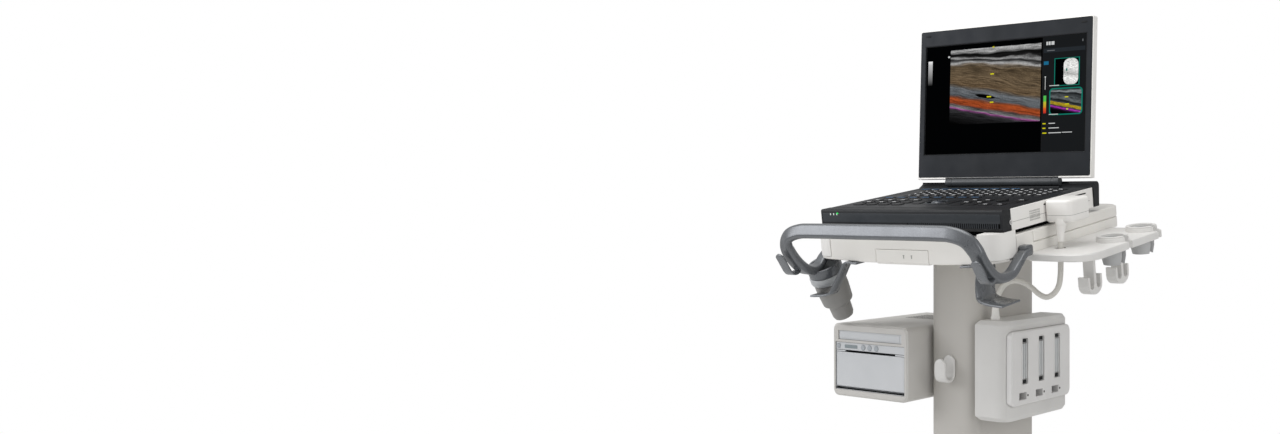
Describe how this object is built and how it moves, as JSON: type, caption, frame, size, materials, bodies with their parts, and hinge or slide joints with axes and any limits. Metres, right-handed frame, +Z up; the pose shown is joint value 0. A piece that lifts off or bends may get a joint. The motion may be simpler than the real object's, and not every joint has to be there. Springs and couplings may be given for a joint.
{
  "type": "ultrasound scanner on a cart",
  "caption": "Laptop-style ultrasound scanner docked on a height-adjustable column cart, with push handle, probe shelf, gel holder, printer bay and probe connector box on swivel casters.",
  "frame": {"origin": "middle of the footprint, on the floor, with the column at full height and the lid open", "axes": "+X to the user's right, -Y towards the user, +Z up"},
  "size_m": [0.5521, 0.5953, 1.3351],
  "materials": {
    "white_plastic": "fine satin moulded plastic",
    "warm_grey_paint": "powder coat",
    "silver_grey": "satin moulded plastic",
    "slate_paint": "satin metallic paint",
    "black_plastic": "fine texture",
    "deck_black": "fine texture",
    "glass_black": "smooth",
    "rubber": "moulded",
    "steel": "satin",
    "cable_white": "smooth jacket"
  },
  "bodies": {
    "base": {"base_chassis": "warm_grey_paint", "base_cover": "warm_grey_paint", "lower_mast": "steel", "gas_spring_rod": "steel"},
    "upper_cart": {"port_box_body": "white_plastic", "port_faceplate": "white_plastic", "tray_shell": "white_plastic", "tray_corner_left": "white_plastic", "tray_corner_right": "white_plastic", "tray_dock": "white_plastic", "probe_shelf": "white_plastic", "laptop_case": "white_plastic", "probe_plug": "white_plastic", "cable_gland": "white_plastic", "column_hook": "white_plastic", "column_sleeve": "warm_grey_paint", "printer_housing": "warm_grey_paint", "printer_unit": "silver_grey", "printer_bay_panel": "silver_grey", "gel_collar": "silver_grey", "gel_cup": "silver_grey", "probe_cup_front": "silver_grey", "probe_cup_rear": "silver_grey", "handle_bar": "slate_paint", "handle_hook_left": "slate_paint", "handle_hook_right": "slate_paint", "strap_hook_left": "slate_paint", "strap_hook_right": "slate_paint", "port_sockets": "black_plastic", "keyboard": "black_plastic", "laptop_deck": "deck_black", "gas_spring_cylinder": "steel", "probe_cable": "cable_white"},
    "lid": {"lid_shell": "white_plastic", "lid_bezel": "black_plastic", "lcd_panel": "glass_black", "hinge_barrel": "black_plastic"},
    "printer_door": {"printer_door": "silver_grey"},
    "printer_button_1": {"printer_button_1": "silver_grey"},
    "printer_button_2": {"printer_button_2": "silver_grey"},
    "printer_button_3": {"printer_button_3": "silver_grey"},
    "printer_power_button": {"printer_power_button": "silver_grey"},
    "port_latch_1": {"port_latch_1": "silver_grey"},
    "port_latch_2": {"port_latch_2": "silver_grey"},
    "port_latch_3": {"port_latch_3": "silver_grey"},
    "height_paddle": {"height_paddle": "white_plastic"},
    "trackball": {"trackball": "silver_grey"},
    "select_key_left": {"select_key_left": "black_plastic"},
    "select_key_right": {"select_key_right": "black_plastic"},
    "gain_knob": {"gain_knob": "black_plastic"},
    "brake_pedal_front_left": {"brake_pedal_front_left": "slate_paint"},
    "brake_pedal_front_right": {"brake_pedal_front_right": "slate_paint"},
    "caster_fork_front_left": {"caster_fork_front_left": "silver_grey"},
    "caster_fork_front_right": {"caster_fork_front_right": "silver_grey"},
    "caster_fork_rear_left": {"caster_fork_rear_left": "silver_grey"},
    "caster_fork_rear_right": {"caster_fork_rear_right": "silver_grey"},
    "caster_wheel_front_left": {"caster_wheel_front_left": "rubber"},
    "caster_wheel_front_right": {"caster_wheel_front_right": "rubber"},
    "caster_wheel_rear_left": {"caster_wheel_rear_left": "rubber"},
    "caster_wheel_rear_right": {"caster_wheel_rear_right": "rubber"}
  },
  "joints": [
    {"name": "height_slide", "type": "slide", "parent": "base", "child": "upper_cart", "axis": [0, 0, 1], "range_m": [-0.2, 0]},
    {"name": "lid_hinge", "type": "hinge", "parent": "upper_cart", "child": "lid", "pos_m": [-0.0205, 0.06665, 1.05489], "axis": [1, 0, 0], "range_deg": [-25, 100]},
    {"name": "caster_swivel_front_left", "type": "hinge", "parent": "base", "child": "caster_fork_front_left", "pos_m": [-0.2455, -0.25512, 0.1117], "axis": [0, 0, 1], "continuous": true},
    {"name": "wheel_spin_front_left", "type": "hinge", "parent": "caster_fork_front_left", "child": "caster_wheel_front_left", "pos_m": [-0.2455, -0.22312, 0.05], "axis": [1, 0, 0], "continuous": true},
    {"name": "brake_press_left", "type": "hinge", "parent": "caster_fork_front_left", "child": "brake_pedal_front_left", "pos_m": [-0.2455, -0.21013, 0.1055], "axis": [1, 0, 0], "range_deg": [-8, 0], "stiffness_Nm_per_rad": 1.5, "springref_deg": 5.73},
    {"name": "caster_swivel_front_right", "type": "hinge", "parent": "base", "child": "caster_fork_front_right", "pos_m": [0.2045, -0.25512, 0.1117], "axis": [0, 0, 1], "continuous": true},
    {"name": "wheel_spin_front_right", "type": "hinge", "parent": "caster_fork_front_right", "child": "caster_wheel_front_right", "pos_m": [0.2045, -0.22312, 0.05], "axis": [1, 0, 0], "continuous": true},
    {"name": "brake_press_right", "type": "hinge", "parent": "caster_fork_front_right", "child": "brake_pedal_front_right", "pos_m": [0.2045, -0.21013, 0.1055], "axis": [1, 0, 0], "range_deg": [-8, 0], "stiffness_Nm_per_rad": 1.5, "springref_deg": 5.73},
    {"name": "caster_swivel_rear_left", "type": "hinge", "parent": "base", "child": "caster_fork_rear_left", "pos_m": [-0.2455, 0.21488, 0.1117], "axis": [0, 0, 1], "continuous": true},
    {"name": "wheel_spin_rear_left", "type": "hinge", "parent": "caster_fork_rear_left", "child": "caster_wheel_rear_left", "pos_m": [-0.2455, 0.24688, 0.05], "axis": [1, 0, 0], "continuous": true},
    {"name": "caster_swivel_rear_right", "type": "hinge", "parent": "base", "child": "caster_fork_rear_right", "pos_m": [0.2045, 0.21488, 0.1117], "axis": [0, 0, 1], "continuous": true},
    {"name": "wheel_spin_rear_right", "type": "hinge", "parent": "caster_fork_rear_right", "child": "caster_wheel_rear_right", "pos_m": [0.2045, 0.24688, 0.05], "axis": [1, 0, 0], "continuous": true},
    {"name": "paddle_squeeze", "type": "hinge", "parent": "upper_cart", "child": "height_paddle", "pos_m": [-0.0205, -0.19891, 0.94335], "axis": [1, 0, 0], "range_deg": [0, 8], "stiffness_Nm_per_rad": 2, "springref_deg": -8.59},
    {"name": "printer_door_hinge", "type": "hinge", "parent": "upper_cart", "child": "printer_door", "pos_m": [-0.15405, -0.13462, 0.7015], "axis": [1, 0, 0], "range_deg": [0, 85]},
    {"name": "printer_button_1_press", "type": "slide", "parent": "upper_cart", "child": "printer_button_1", "axis": [0, 1, 0], "range_m": [0, 0.0012], "stiffness_N_per_m": 400},
    {"name": "printer_button_2_press", "type": "slide", "parent": "upper_cart", "child": "printer_button_2", "axis": [0, 1, 0], "range_m": [0, 0.0012], "stiffness_N_per_m": 400},
    {"name": "printer_button_3_press", "type": "slide", "parent": "upper_cart", "child": "printer_button_3", "axis": [0, 1, 0], "range_m": [0, 0.0012], "stiffness_N_per_m": 400},
    {"name": "printer_power_button_press", "type": "slide", "parent": "upper_cart", "child": "printer_power_button", "axis": [0, 1, 0], "range_m": [0, 0.0012], "stiffness_N_per_m": 400},
    {"name": "port_latch_1_slide", "type": "slide", "parent": "upper_cart", "child": "port_latch_1", "axis": [0, 1, 0], "range_m": [0, 0.01]},
    {"name": "port_latch_2_slide", "type": "slide", "parent": "upper_cart", "child": "port_latch_2", "axis": [0, 1, 0], "range_m": [0, 0.01]},
    {"name": "port_latch_3_slide", "type": "slide", "parent": "upper_cart", "child": "port_latch_3", "axis": [0, 1, 0], "range_m": [0, 0.01]},
    {"name": "trackball_roll", "type": "hinge", "parent": "upper_cart", "child": "trackball", "pos_m": [-0.0245, -0.11632, 1.00595], "axis": [1, 0, 0], "continuous": true},
    {"name": "gain_knob_turn", "type": "hinge", "parent": "upper_cart", "child": "gain_knob", "pos_m": [0.0975, -0.10426, 1.02077], "axis": [0, -0.1392, 0.9903], "continuous": true},
    {"name": "select_key_left_press", "type": "slide", "parent": "upper_cart", "child": "select_key_left", "axis": [0, 0.1392, -0.9903], "range_m": [0, 0.001], "stiffness_N_per_m": 300, "springref_m": -0.001},
    {"name": "select_key_right_press", "type": "slide", "parent": "upper_cart", "child": "select_key_right", "axis": [0, 0.1392, -0.9903], "range_m": [0, 0.001], "stiffness_N_per_m": 300, "springref_m": -0.001}
  ]
}
